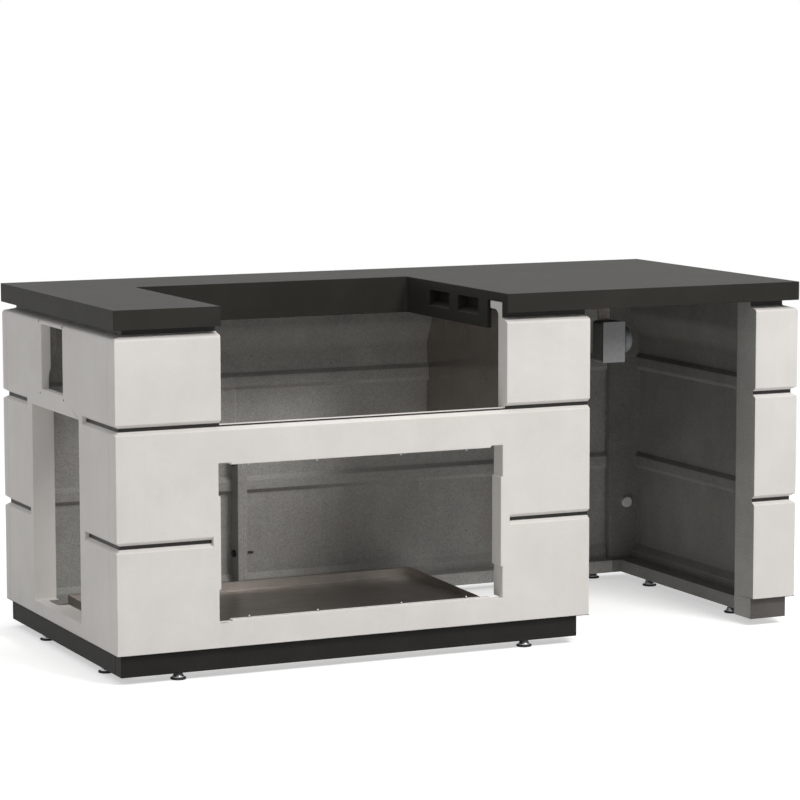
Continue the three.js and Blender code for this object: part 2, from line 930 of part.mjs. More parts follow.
// The blank cover of the box.
function outletCoverPlate() {
  return alongY(outletOutline(0, outletCoverCorner), outletFront, outletFront + outletCover);
}

// The round hub on the right side of the box.
function outletHub() {
  const hub = turned(
    [
      [0, 0],
      [hubRadius - hubSkirt, 0],
      [hubRadius, hubSkirt],
      [hubRadius, hubReach - hubEdge],
      [hubRadius - hubEdge, hubReach],
      [0, hubReach],
    ],
    discSides,
  );
  hub.rotateY(Math.PI / 2);
  hub.translate(outletRight + clearance, (bodyFront + bodyBack) / 2, outletBottom + hubRise);
  return solid(hub);
}

// The steel angle that hangs the box from the counter.
function boxBracket() {
  const x0 = outletLeft + strapInset;
  const x1 = x0 + strapWidth;
  const y0 = bodyBack + clearance;
  const bottom = outletTop - strapLap;
  return joined([
    block(x0, x1, y0, y0 + strapThickness, bottom, panelTop),
    block(x0, x1, y0, y0 + strapFoot, panelTop - strapThickness, panelTop),
  ]);
}

// A corner bolt: its hexagon head bears on the end panel's flange, towards the inside.
function cornerBolt(x, z, seam, inwards) {
  const bearing = seam + inwards * (clearance + returnWall + clearance);
  const top = bearing + inwards * cornerBoltHeadHeight;
  const tip = seam - inwards * cornerBoltGrip;
  const shaft = [tip, bearing].sort((a, b) => a - b);
  const head = [bearing, top].sort((a, b) => a - b);
  return joined([
    barAlongY(cornerBoltRadius, x, z, shaft[0], shaft[1], boltSides),
    barAlongY(cornerBoltHead, x, z, head[0], head[1], hexSides),
  ]);
}

// A bolt through the back wall's joint, with its nut on the right.
function jointBolt(z) {
  const y = faceBack - jointBoltInset;
  const headEnd = backSectionLeft - jointFlangeThickness - clearance;
  const nutStart = backSectionLeft + clearance + jointFlangeThickness + clearance;
  const nutEnd = nutStart + jointBoltHeadHeight;
  return joined([
    barAlongX(jointBoltRadius, y, z, headEnd, nutEnd + jointBoltTail, boltSides),
    barAlongX(jointBoltHead, y, z, headEnd - jointBoltHeadHeight, headEnd, hexSides),
    barAlongX(jointBoltHead, y, z, nutStart, nutEnd, hexSides),
  ]);
}

// The round cap over the one corner bolt that can be seen in the bay.
function boltCap() {
  const cap = turned(
    [
      [0, capDepth - capWall],
      [capRadius - capWall, capDepth - capWall],
      [capRadius - capWall, 0],
      [capRadius, 0],
      [capRadius, capDepth - capBevel],
      [capRadius - capBevel, capDepth],
      [0, capDepth],
    ],
    discSides,
  );
  cap.rotateX(Math.PI / 2);
  cap.translate(
    rearRightBoltX,
    backSeam - clearance - returnWall - clearance,
    cornerBoltHeights[0],
  );
  return solid(cap);
}

// The round pad of a levelling foot.
function footPad(x, y) {
  const pad = turned(
    [
      [0, 0],
      [padRadius - padBevel, 0],
      [padRadius, padBevel],
      [padRadius, padThickness - padBevel],
      [padRadius - padBevel, padThickness],
      [0, padThickness],
    ],
    discSides,
  );
  pad.translate(x, y, 0);
  return solid(pad);
}

// The stud of a levelling foot, with the steel cup that sits on the pad.
function footStud(x, y) {
  const cupBottom = padThickness + clearance;
  const cupTop = panelBottom - clearance;
  const studTop = panelBottom + footBoreDepth - studTopGap;
  const stud = turned(
    [
      [0, cupBottom],
      [cupRadius, cupBottom],
      [cupRadius, cupBottom + cupEdge],
      [cupNeck, cupTop],
      [studRadius, cupTop],
      [studRadius, studTop],
      [0, studTop],
    ],
    discSides,
  );
  stud.translate(x, y, 0);
  return solid(stud);
}

// Looks of each material
const cement = { color: 0xdad7d1, roughness: 0.85, metalness: 0 };
const darkCement = { color: 0x4a4946, roughness: 0.8, metalness: 0 };
const steel = { color: 0x9a948c, roughness: 0.35, metalness: 1 };
const zinc = { color: 0xb4b4b0, roughness: 0.4, metalness: 1 };
const castBox = { color: 0x84847f, roughness: 0.6, metalness: 0.6 };
const palePlastic = { color: 0xb9b9b4, roughness: 0.5, metalness: 0 };
const blackRubber = { color: 0x1c1c1c, roughness: 0.7, metalness: 0 };

const island = new THREE.Group();
island.name = "outdoor_kitchen_island";
island.position.set(-islandLength / 2, -islandDepth / 2, 0);

// Adds one piece to the island under its name.
function add(name, made, look) {
  const mesh = new THREE.Mesh(geometryOf(made), new THREE.MeshStandardMaterial(look));
  mesh.name = name;
  island.add(mesh);
}

add("counter", counter(), darkCement);
add("front_panel", frontPanel(), cement);
add("front_post", frontPost(), cement);
add("left_end_panel", leftEndPanel(), cement);
add("right_end_panel", rightEndPanel(), cement);
add("back_panel_left", backPanelLeft(), cement);
add("back_panel_right", backPanelRight(), cement);
add("cabinet_tray", cabinetTray(), steel);
add("heat_shield", heatShield(), steel);
add("outlet_box", outletBox(), castBox);
add("outlet_cover", outletCoverPlate(), castBox);
add("outlet_hub", outletHub(), castBox);
add("outlet_bracket", boxBracket(), zinc);
add("bolt_cap", boltCap(), palePlastic);

jointBoltHeights.forEach((z, i) => {
  add(`joint_bolt_${i + 1}`, jointBolt(z), zinc);
});

const corners = [
  ["front_left", leftBoltX, frontSeam, 1],
  ["back_left", leftBoltX, backSeam, -1],
  ["front_right", postBoltX, postSeam, 1],
  ["back_right", rearRightBoltX, backSeam, -1],
];
for (const [corner, x, seam, inwards] of corners) {
  cornerBoltHeights.forEach((z, i) => {
    add(`corner_bolt_${corner}_${i + 1}`, cornerBolt(x, z, seam, inwards), zinc);
  });
}

const footRows = [
  ["front", frontFootPlaces],
  ["left", leftFootPlaces],
  ["right", rightFootPlaces],
  ["back", backFootPlaces],
];
for (const [side, places] of footRows) {
  places.forEach(([x, y], i) => {
    add(`foot_stud_${side}_${i + 1}`, footStud(x, y), zinc);
    add(`foot_pad_${side}_${i + 1}`, footPad(x, y), blackRubber);
  });
}

export default island;
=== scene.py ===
# Outdoor kitchen island in cast cement: white panels on levelling feet under a dark counter,
# with a cut-out for a grill, a door opening below it and a bay for a fridge.
# Metres. The frame is the CAD model's own: x right, y back, z up, the floor at z = 0.
import math

import bmesh
import bpy
from mathutils import Matrix, Vector
from mathutils.bvhtree import BVHTree


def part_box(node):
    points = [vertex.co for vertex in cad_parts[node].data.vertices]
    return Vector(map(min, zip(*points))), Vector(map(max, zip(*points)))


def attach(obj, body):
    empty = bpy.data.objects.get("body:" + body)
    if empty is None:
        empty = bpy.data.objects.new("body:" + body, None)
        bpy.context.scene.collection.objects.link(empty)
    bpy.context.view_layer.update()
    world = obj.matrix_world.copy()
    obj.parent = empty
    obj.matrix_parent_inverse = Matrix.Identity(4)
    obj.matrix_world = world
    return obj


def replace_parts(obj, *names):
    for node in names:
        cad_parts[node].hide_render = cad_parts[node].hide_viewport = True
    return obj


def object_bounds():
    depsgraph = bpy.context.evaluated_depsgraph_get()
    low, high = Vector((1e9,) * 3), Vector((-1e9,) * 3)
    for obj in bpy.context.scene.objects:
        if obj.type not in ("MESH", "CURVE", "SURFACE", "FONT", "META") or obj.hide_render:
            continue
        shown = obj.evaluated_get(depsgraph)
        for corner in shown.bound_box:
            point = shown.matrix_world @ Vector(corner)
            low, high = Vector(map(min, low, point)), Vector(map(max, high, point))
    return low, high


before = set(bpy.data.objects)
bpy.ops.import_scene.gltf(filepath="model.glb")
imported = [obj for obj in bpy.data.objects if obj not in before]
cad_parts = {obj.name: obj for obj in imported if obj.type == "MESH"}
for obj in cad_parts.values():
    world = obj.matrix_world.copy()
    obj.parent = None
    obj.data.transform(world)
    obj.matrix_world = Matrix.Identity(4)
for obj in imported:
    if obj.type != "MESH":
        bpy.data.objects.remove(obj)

cad_box = [list(corner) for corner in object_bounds()]


# Camera. It stands where the photograph was taken from: 8.4 m away, to the left of the
# front and a little above the counter, with a long lens.
camera_data = bpy.data.cameras.new("camera")
camera_data.sensor_width = 36
camera_data.lens = 141.278
camera_data.clip_end = 200
camera = bpy.data.objects.new("camera", camera_data)
bpy.context.scene.collection.objects.link(camera)
bpy.context.scene.camera = camera

camera_yaw = math.radians(24.825)
camera_pitch = math.radians(6.917)
camera_roll = math.radians(0.099)
looking = Vector((
    math.sin(camera_yaw) * math.cos(camera_pitch),
    math.cos(camera_yaw) * math.cos(camera_pitch),
    -math.sin(camera_pitch),
))
level_right = Vector((math.cos(camera_yaw), -math.sin(camera_yaw), 0))
level_down = looking.cross(level_right)
camera_right = math.cos(camera_roll) * level_right + math.sin(camera_roll) * level_down
camera_down = math.cos(camera_roll) * level_down - math.sin(camera_roll) * level_right
camera_place = (-3.4885, -7.539, 1.615)
camera.matrix_world = Matrix.Translation(camera_place) @ Matrix((
    camera_right,
    -camera_down,
    -looking,
)).transposed().to_4x4()


# Studio. A pale floor and a white surround, one large soft lamp high in front and a little
# to the right, and a wide one above that lights the floor, which throws light up inside the island.
bpy.context.scene.view_settings.view_transform = "Standard"


def linear(hex_colour):
    """An sRGB hex colour as the linear colour that a shader takes."""
    channels = []
    for start in (1, 3, 5):
        value = int(hex_colour[start:start + 2], 16) / 255
        channels.append(value / 12.92 if value <= 0.04045 else ((value + 0.055) / 1.055) ** 2.4)
    return (*channels, 1.0)


def put(tree, kind, links=None, **settings):
    """One more node in a tree. A link is a socket or a plain value, by the input's name or number."""
    node = tree.nodes.new(kind)
    for name, value in settings.items():
        setattr(node, name, value)
    for name, value in (links or {}).items():
        if isinstance(value, bpy.types.NodeSocket):
            tree.links.new(value, node.inputs[name])
        else:
            node.inputs[name].default_value = value
    return node


def empty_material(name):
    """A material with nothing in it but its output."""
    material = bpy.data.materials.new(name)
    material.use_nodes = True
    material.node_tree.nodes.clear()
    return material, put(material.node_tree, "ShaderNodeOutputMaterial")


def studio_rays(tree):
    """1 for the rays that should see a white studio: the camera's, and those off gloss or through glass."""
    ray = put(tree, "ShaderNodeLightPath")
    seen = put(tree, "ShaderNodeMath", {0: ray.outputs["Is Camera Ray"], 1: ray.outputs["Is Glossy Ray"]},
               operation="MAXIMUM")
    return put(tree, "ShaderNodeMath", {0: seen.outputs[0], 1: ray.outputs["Is Transmission Ray"]},
               operation="MAXIMUM").outputs[0]


world = bpy.data.worlds.new("studio")
bpy.context.scene.world = world
world.use_nodes = True
world.node_tree.nodes.clear()
sky_direction = put(world.node_tree, "ShaderNodeTexCoord")
sky_height = put(world.node_tree, "ShaderNodeSeparateXYZ", {0: sky_direction.outputs["Generated"]})
sky_strength = put(world.node_tree, "ShaderNodeMapRange",
                   {"Value": sky_height.outputs["Z"], "To Min": 0.10, "To Max": 0.85})
surround_strength = put(world.node_tree, "ShaderNodeMapRange",
                        {"Value": studio_rays(world.node_tree), "To Min": sky_strength.outputs[0],
                         "To Max": 1.0})
surround = put(world.node_tree, "ShaderNodeBackground",
               {"Color": linear("#FFFFFF"), "Strength": surround_strength.outputs[0]})
put(world.node_tree, "ShaderNodeOutputWorld", {"Surface": surround.outputs[0]})

floor_mesh = bmesh.new()
bmesh.ops.create_grid(floor_mesh, x_segments=1, y_segments=1, size=14)
floor_data = bpy.data.meshes.new("floor")
floor_mesh.to_mesh(floor_data)
floor_mesh.free()
floor = bpy.data.objects.new("floor", floor_data)
bpy.context.scene.collection.objects.link(floor)

# The floor is a matt white table lit from below: it gives a little light of its own, and
# takes the island's shadow. Far from the island it turns into the plain white surround.
floor_paint, floor_out = empty_material("studio_floor")
floor_tree = floor_paint.node_tree
floor_tone = put(floor_tree, "ShaderNodeMix",
                 {0: studio_rays(floor_tree), 6: linear("#D8D8D8"), 7: linear("#EFEFEF")}, data_type="RGBA")
floor_matt = put(floor_tree, "ShaderNodeBsdfDiffuse", {"Color": floor_tone.outputs[2]})
floor_place = put(floor_tree, "ShaderNodeTexCoord")
floor_axes = put(floor_tree, "ShaderNodeSeparateXYZ", {0: floor_place.outputs["Object"]})
# The table glows most under the island, where no lamp reaches it, and lights the inside from below.
under_sides = []
for axis, reach in (("X", 0.93), ("Y", 0.41)):
    off_middle = put(floor_tree, "ShaderNodeMath", {0: floor_axes.outputs[axis]}, operation="ABSOLUTE")
    under_sides.append(put(floor_tree, "ShaderNodeMath", {0: off_middle.outputs[0], 1: reach},
                           operation="LESS_THAN").outputs[0])
under_island = put(floor_tree, "ShaderNodeMath", {0: under_sides[0], 1: under_sides[1]},
                   operation="MULTIPLY")
under_glow = put(floor_tree, "ShaderNodeMapRange",
                 {"Value": under_island.outputs[0], "To Min": 0.03, "To Max": 0.38})
floor_lift = put(floor_tree, "ShaderNodeMapRange",
                 {"Value": studio_rays(floor_tree), "To Min": under_glow.outputs[0], "To Max": 0.50})
floor_glow = put(floor_tree, "ShaderNodeEmission",
                 {"Color": linear("#FFFFFF"), "Strength": floor_lift.outputs[0]})
floor_lit = put(floor_tree, "ShaderNodeAddShader", {0: floor_matt.outputs[0], 1: floor_glow.outputs[0]})
floor_reach = put(floor_tree, "ShaderNodeVectorMath", {0: floor_place.outputs["Object"]},
                  operation="LENGTH")
floor_far = put(floor_tree, "ShaderNodeMapRange",
                {"Value": floor_reach.outputs["Value"], "From Min": 1.6, "From Max": 3.4},
                interpolation_type="SMOOTHSTEP")
floor_plain = put(floor_tree, "ShaderNodeMath", {0: floor_far.outputs[0], 1: studio_rays(floor_tree)},
                  operation="MULTIPLY")
floor_white = put(floor_tree, "ShaderNodeEmission", {"Color": linear("#FFFFFF"), "Strength": 1.0})
floor_mix = put(floor_tree, "ShaderNodeMixShader",
                {0: floor_plain.outputs[0], 1: floor_lit.outputs[0], 2: floor_white.outputs[0]})
floor_tree.links.new(floor_mix.outputs[0], floor_out.inputs["Surface"])
floor_data.materials.append(floor_paint)

for lamp_name, lamp_from, lamp_at, lamp_size, lamp_power in (
    ("key_lamp", (1.6, -4.9, 5.8), (0.1, -0.2, 0.45), 2.4, 305),
    ("top_lamp", (-0.6, 0.6, 5.2), (0.0, 0.0, 0.5), 3.4, 30),
):
    lamp_data = bpy.data.lights.new(lamp_name, "AREA")
    lamp_data.shape = "DISK"
    lamp_data.size = lamp_size
    lamp_data.energy = lamp_power
    lamp_data.color = (1.0, 0.988, 0.975)
    lamp = bpy.data.objects.new(lamp_name, lamp_data)
    bpy.context.scene.collection.objects.link(lamp)
    lamp.location = lamp_from
    lamp.rotation_euler = (Vector(lamp_at) - Vector(lamp_from)).to_track_quat("-Z", "Y").to_euler()


# Levelling feet. Each is a steel stud with a pressed cup that sits on a round black pad.
# The stud screws up into the underside of a panel, so a turn raises or lowers the corner.
def bare_steel(name, tone, shade, rough_low, rough_high, spangle_mm):
    """A plated or bare steel: patches of slightly different tone and gloss, with fine scratches."""
    material, out = empty_material(name)
    tree = material.node_tree
    place = put(tree, "ShaderNodeTexCoord")
    patches = put(tree, "ShaderNodeTexVoronoi",
                  {"Vector": place.outputs["Object"], "Scale": 1000 / spangle_mm}, feature="F1")
    fine = put(tree, "ShaderNodeTexNoise",
               {"Vector": place.outputs["Object"], "Scale": 1400.0, "Detail": 3.0})
    colour = put(tree, "ShaderNodeMix",
                 {0: patches.outputs["Color"], 6: linear(tone), 7: linear(shade)}, data_type="RGBA")
    rough = put(tree, "ShaderNodeMapRange",
                {"Value": fine.outputs[0], "To Min": rough_low, "To Max": rough_high})
    bump = put(tree, "ShaderNodeBump",
               {"Height": fine.outputs[0], "Strength": 0.15, "Distance": 0.0004})
    steel = put(tree, "ShaderNodeBsdfPrincipled", {
        "Base Color": colour.outputs[2],
        "Metallic": 1.0,
        "Roughness": rough.outputs[0],
        "Normal": bump.outputs[0],
    })
    tree.links.new(steel.outputs[0], out.inputs["Surface"])
    return material


def moulded(name, tone, shade, roughness, grain_mm, bump_mm):
    """A moulded rubber or plastic: an even colour with a faint cloud and a fine matt grain."""
    material, out = empty_material(name)
    tree = material.node_tree
    place = put(tree, "ShaderNodeTexCoord")
    cloud = put(tree, "ShaderNodeTexNoise",
                {"Vector": place.outputs["Object"], "Scale": 90.0, "Detail": 3.0})
    grain = put(tree, "ShaderNodeTexNoise",
                {"Vector": place.outputs["Object"], "Scale": 1000 / grain_mm, "Detail": 2.0})
    colour = put(tree, "ShaderNodeMix",
                 {0: cloud.outputs[0], 6: linear(tone), 7: linear(shade)}, data_type="RGBA")
    rough = put(tree, "ShaderNodeMapRange",
                {"Value": cloud.outputs[0], "To Min": roughness - 0.06, "To Max": roughness + 0.06})
    bump = put(tree, "ShaderNodeBump",
               {"Height": grain.outputs[0], "Strength": 0.5, "Distance": bump_mm / 1000})
    skin = put(tree, "ShaderNodeBsdfPrincipled", {
        "Base Color": colour.outputs[2],
        "Roughness": rough.outputs[0],
        "IOR": 1.5,
        "Normal": bump.outputs[0],
    })
    tree.links.new(skin.outputs[0], out.inputs["Surface"])
    return material


# Zinc plated steel: a cool grey with faint patches, glossy enough to catch the floor.
zinc_plate = bare_steel(
    "zinc_plated_steel",
    tone="#C4C6C8", shade="#A2A5A8",
    rough_low=0.22, rough_high=0.38, spangle_mm=4.0,
)
# Natural rubber, moulded: near black and matt, with a fine grain.
black_rubber = moulded(
    "moulded_black_rubber",
    tone="#1C1C1C", shade="#262625",
    roughness=0.68, grain_mm=0.9, bump_mm=0.08,
)


# Points nearer to each other than this are one point.
weld_distance = 0.00002


def cad_copy(node, splits=()):
    """A copy of a CAD node's mesh with its flat faces joined up, cut through at the planes in splits."""
    flat_angle = math.radians(0.6)
    on_plane = 0.00001
    mesh = bmesh.new()
    mesh.from_mesh(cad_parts[node].data)
    bmesh.ops.remove_doubles(mesh, verts=mesh.verts, dist=weld_distance)
    bmesh.ops.dissolve_limit(mesh, angle_limit=flat_angle, verts=mesh.verts, edges=mesh.edges,
                             use_dissolve_boundaries=False)
    for point, normal in splits:
        bmesh.ops.bisect_plane(mesh, geom=mesh.verts[:] + mesh.edges[:] + mesh.faces[:], dist=on_plane,
                               plane_co=point, plane_no=normal)
    bmesh.ops.connect_verts_concave(mesh, faces=mesh.faces[:])
    mesh.normal_update()
    return mesh


def ease_edges(mesh, radius_mm, shortest_mm=0.6, segments=2, left_sharp=None):
    """Rounds the sharp edges of a mesh, as a mould or a deburring tool leaves them."""
    sharp_angle = math.radians(28)
    sharp = [
        edge for edge in mesh.edges
        if edge.is_manifold and edge.calc_length() > shortest_mm / 1000
        and edge.calc_face_angle(0) > sharp_angle
        and not (left_sharp and left_sharp(edge))
    ]
    bmesh.ops.bevel(mesh, geom=sharp, affect="EDGES", offset=radius_mm / 1000, offset_type="OFFSET",
                    segments=segments, profile=0.5, material=-1, clamp_overlap=False)
    bmesh.ops.remove_doubles(mesh, verts=mesh.verts, dist=weld_distance)


def placed(name, mesh, body, materials):
    """Turns a finished mesh into a piece of the island that rides on a body."""
    crease_angle = math.radians(50)
    for face in mesh.faces:
        face.smooth = True
    mesh.normal_update()
    for edge in mesh.edges:
        edge.smooth = not (edge.is_manifold and edge.calc_face_angle(0) > crease_angle)
    data = bpy.data.meshes.new(name)
    mesh.to_mesh(data)
    mesh.free()
    for material in materials:
        data.materials.append(material)
    piece = bpy.data.objects.new(name, data)
    bpy.context.scene.collection.objects.link(piece)
    even = piece.modifiers.new("even_shading", "WEIGHTED_NORMAL")
    even.keep_sharp = True
    even.weight = 80
    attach(piece, body)
    return piece


def threaded_rod(mesh, x, y, bottom, top, radius, pitch, depth):
    """Adds an upright rod with a thread that winds up it, closed at both ends."""
    sides = 24
    rows_per_turn = 6
    rows = round((top - bottom) / pitch * rows_per_turn)
    rings = []
    for row in range(rows + 1):
        z = bottom + (top - bottom) * row / rows
        ring = []
        for side in range(sides):
            turn = (z - bottom) / pitch - side / sides
            valley = 2 * abs(turn % 1.0 - 0.5)
            reach = radius - depth * valley
            angle = 2 * math.pi * side / sides
            ring.append(mesh.verts.new((x + reach * math.cos(angle), y + reach * math.sin(angle), z)))
        rings.append(ring)
    for lower, upper in zip(rings, rings[1:]):
        for side in range(sides):
            ahead = (side + 1) % sides
            mesh.faces.new((lower[side], lower[ahead], upper[ahead], upper[side]))
    mesh.faces.new(list(reversed(rings[0])))
    mesh.faces.new(rings[-1])


pad_edge_mm = 0.9
cup_sides = 48
stud_above_cup = 0.0283
stud_into_cup = 0.0005
stud_radius = 0.005
thread_pitch = 0.0015
thread_depth = 0.0007
foot_names = [name[len("foot_stud_"):] for name in sorted(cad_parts) if name.startswith("foot_stud_")]
for foot_name in foot_names:
    foot_body = "foot_" + foot_name
    pad = cad_copy("foot_pad_" + foot_name)
    ease_edges(pad, pad_edge_mm)
    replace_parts(placed("pad_" + foot_name, pad, foot_body, [black_rubber]),
                "foot_pad_" + foot_name)
    low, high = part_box("foot_stud_" + foot_name)
    foot_x, foot_y = (low[0] + high[0]) / 2, (low[1] + high[1]) / 2
    cup_top = high[2] - stud_above_cup
    # The cup's outline from its middle underneath to its middle on top: radius and height.
    cup_outline = (
        (0.0, low[2]),
        (0.0146, low[2]),
        (0.015, low[2] + 0.0004),
        (0.015, low[2] + 0.0019),
        (0.0144, low[2] + 0.0027),
        (0.0098, cup_top - 0.0012),
        (0.0088, cup_top),
        (0.0, cup_top),
    )
    stud = bmesh.new()
    rings = []
    for reach, z in cup_outline:
        if reach == 0:
            rings.append([stud.verts.new((foot_x, foot_y, z))])
        else:
            rings.append([stud.verts.new((foot_x + reach * math.cos(math.tau * side / cup_sides),
                                          foot_y + reach * math.sin(math.tau * side / cup_sides), z))
                          for side in range(cup_sides)])
    for lower, upper in zip(rings, rings[1:]):
        for side in range(cup_sides):
            ahead = (side + 1) % cup_sides
            corners = [lower[side % len(lower)], lower[ahead % len(lower)],
                       upper[ahead % len(upper)], upper[side % len(upper)]]
            stud.faces.new(list(dict.fromkeys(corners)))
    threaded_rod(stud, foot_x, foot_y, cup_top - stud_into_cup, high[2],
                 stud_radius, thread_pitch, thread_depth)
    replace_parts(placed("stud_" + foot_name, stud, foot_body, [zinc_plate]),
                "foot_stud_" + foot_name)


# Panels. Front, post, ends and back are thin cast cement with fibre in it, poured face down:
# the face that lay in the mould is white and close, the back is raw, the plinth is stained dark and
# the neck under the counter is dark; the groove floors and screw holes carry painted shade in charcoal.
def cast_cement(name, light, dark, blush, pit, pit_share, pit_size, roughness, gloss,
                grain_mm, grain_depth_mm, fleck_mm, fleck, streak):
    """Cast cement: cloudy tone, a faint warm blush, drawn streaks, pinholes and a sandy grain."""
    material, out = empty_material(name)
    tree = material.node_tree
    place = put(tree, "ShaderNodeTexCoord").outputs["Object"]
    upright = put(tree, "ShaderNodeMapping", {"Vector": place, "Scale": (1.0, 1.0, 0.07)}).outputs[0]
    clouds = put(tree, "ShaderNodeTexNoise",
                 {"Vector": place, "Scale": 5.5, "Detail": 5.0, "Roughness": 0.62, "Distortion": 0.4})
    flecks = put(tree, "ShaderNodeTexNoise",
                 {"Vector": place, "Scale": 1000 / fleck_mm, "Detail": 4.0, "Roughness": 0.7})
    warm = put(tree, "ShaderNodeTexNoise", {"Vector": place, "Scale": 3.1, "Detail": 3.0})
    streaks = put(tree, "ShaderNodeTexNoise", {"Vector": upright, "Scale": 42.0, "Detail": 3.0})
    sand = put(tree, "ShaderNodeTexNoise",
               {"Vector": place, "Scale": 1000 / grain_mm, "Detail": 3.0, "Roughness": 0.65})
    # Pinholes are where a surface cuts a round bubble, so few of the cells show one.
    # Their darker pit colour is painted shade inside the small holes.
    bubbles = put(tree, "ShaderNodeTexVoronoi", {"Vector": place, "Scale": 55.0}, feature="F1")
    kind = put(tree, "ShaderNodeSeparateColor", {"Color": bubbles.outputs["Color"]})
    bubble_size = put(tree, "ShaderNodeMapRange",
                      {"Value": kind.outputs[0], "From Min": 1 - pit_share, "From Max": 1.0,
                       "To Min": 0.0, "To Max": pit_size})
    hole = put(tree, "ShaderNodeMath",
               {0: bubble_size.outputs[0], 1: bubbles.outputs["Distance"]}, operation="SUBTRACT")
    hole_mask = put(tree, "ShaderNodeMapRange",
                    {"Value": hole.outputs[0], "From Min": 0.0, "From Max": 0.05})
    cloud_step = put(tree, "ShaderNodeMapRange",
                     {"Value": clouds.outputs[0], "From Min": 0.34, "From Max": 0.66})
    base = put(tree, "ShaderNodeMix",
               {0: cloud_step.outputs[0], 6: linear(dark), 7: linear(light)}, data_type="RGBA")
    warm_share = put(tree, "ShaderNodeMapRange",
                     {"Value": warm.outputs[0], "From Min": 0.5, "From Max": 0.72, "To Max": 0.45})
    tinted = put(tree, "ShaderNodeMix",
                 {0: warm_share.outputs[0], 6: base.outputs[2], 7: linear(blush)}, data_type="RGBA")
    fleck_share = put(tree, "ShaderNodeMapRange",
                      {"Value": flecks.outputs[0], "From Min": 0.35, "From Max": 0.7,
                       "To Min": 1 - fleck, "To Max": 1 + fleck / 2})
    streak_share = put(tree, "ShaderNodeMapRange",
                       {"Value": streaks.outputs[0], "From Min": 0.3, "From Max": 0.7,
                        "To Min": 1 - streak, "To Max": 1 + streak / 2})
    shade = put(tree, "ShaderNodeMath", {0: fleck_share.outputs[0], 1: streak_share.outputs[0]},
                operation="MULTIPLY")
    toned = put(tree, "ShaderNodeMix", {0: 1.0, 6: tinted.outputs[2], 7: shade.outputs[0]},
                data_type="RGBA", blend_type="MULTIPLY")
    colour = put(tree, "ShaderNodeMix", {0: hole_mask.outputs[0], 6: toned.outputs[2], 7: linear(pit)},
                 data_type="RGBA")
    rough = put(tree, "ShaderNodeMapRange",
                {"Value": flecks.outputs[0], "To Min": roughness - 0.08, "To Max": roughness + 0.1})
    grain = put(tree, "ShaderNodeBump",
                {"Height": sand.outputs[0], "Strength": 0.6, "Distance": grain_depth_mm / 1000})
    wave = put(tree, "ShaderNodeBump",
               {"Height": clouds.outputs[0], "Strength": 0.25, "Distance": 0.004,
                "Normal": grain.outputs[0]})
    dents = put(tree, "ShaderNodeBump",
                {"Height": hole_mask.outputs[0], "Strength": 0.8, "Distance": 0.0012,
                 "Normal": wave.outputs[0]},
                invert=True)
    cement = put(tree, "ShaderNodeBsdfPrincipled", {
        "Base Color": colour.outputs[2],
        "Roughness": rough.outputs[0],
        "IOR": 1.5,
        "Specular IOR Level": gloss,
        "Normal": dents.outputs[0],
    })
    tree.links.new(cement.outputs[0], out.inputs["Surface"])
    return material


# White cement off a smooth mould: an even off-white with a faint cloud and many fine pinholes.
white_cement = cast_cement(
    "cast_white_cement",
    light="#DFDCD8", dark="#D7D4D0", blush="#DCD5CF", pit="#A9A59E",
    pit_share=0.85, pit_size=0.075, roughness=0.62, gloss=0.4,
    grain_mm=1.1, grain_depth_mm=0.05, fleck_mm=10.0, fleck=0.012, streak=0.012,
)
# Charcoal cement, sealed: dark, with a slight sheen at a low angle. It is the neck's colour, and painted
# shade in the groove floors and the screw holes.
charcoal_and_shade_cement = cast_cement(
    "sealed_charcoal_and_shade_cement",
    light="#2A2928", dark="#262524", blush="#2B2826", pit="#0C0C0B",
    pit_share=0.10, pit_size=0.13, roughness=0.50, gloss=0.24,
    grain_mm=1.3, grain_depth_mm=0.06, fleck_mm=10.0, fleck=0.06, streak=0.020,
)
# The plinths are stained dark and left unsealed, so they are darker and more matt than the neck.
plinth_cement = cast_cement(
    "unsealed_plinth_cement",
    light="#282725", dark="#22211F", blush="#2A2826", pit="#0A0A0A",
    pit_share=0.10, pit_size=0.13, roughness=0.60, gloss=0.13,
    grain_mm=1.3, grain_depth_mm=0.06, fleck_mm=10.0, fleck=0.06, streak=0.020,
)
# A lighter copy of the plinth cement for the post's plinth, as painted light: its side catches more light,
# so it reads as a mid grey.
lit_plinth_cement = cast_cement(
    "lit_copy_plinth_cement",
    light="#605D5A", dark="#555250", blush="#5E5955", pit="#232120",
    pit_share=0.30, pit_size=0.10, roughness=0.62, gloss=0.24,
    grain_mm=1.3, grain_depth_mm=0.06, fleck_mm=6.0, fleck=0.10, streak=0.030,
)
# The raw back of a casting: grey cement with a sandy speckle of dark and pale grains, quite matt.
raw_cement = cast_cement(
    "raw_back_cement",
    light="#AAA9A5", dark="#9C9B97", blush="#A4A19C", pit="#5A5856",
    pit_share=0.30, pit_size=0.13, roughness=0.90, gloss=0.15,
    grain_mm=2.6, grain_depth_mm=0.5, fleck_mm=4.5, fleck=0.24, streak=0.030,
)
# A darker copy of the raw back cement for the right end, as painted shade: the bay's wall lies in deep
# shade, so it is darker than the cabinet's.
shaded_raw_cement = cast_cement(
    "shaded_copy_raw_back_cement",
    light="#8A8985", dark="#7D7C78", blush="#85827D", pit="#474543",
    pit_share=0.30, pit_size=0.13, roughness=0.90, gloss=0.15,
    grain_mm=2.6, grain_depth_mm=0.5, fleck_mm=4.5, fleck=0.24, streak=0.030,
)

outer_half = Vector(cad_box[1][:2])
counter_overhang = 0.002
wall_out = outer_half - Vector((counter_overhang, counter_overhang))
plinth_top = 0.0744
block_top = 0.8526
groove_heights = (0.341, 0.629)
bay_sides = (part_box("front_panel")[1][0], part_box("front_post")[0][0])
outer_skin = 0.045
screw_hole_reach = 0.0031
# The four screw holes beside the small opening of the left end: y and z of each.
screw_holes = ((-0.0506, 0.847), (0.1354, 0.847), (-0.0576, 0.663), (0.1284, 0.663))


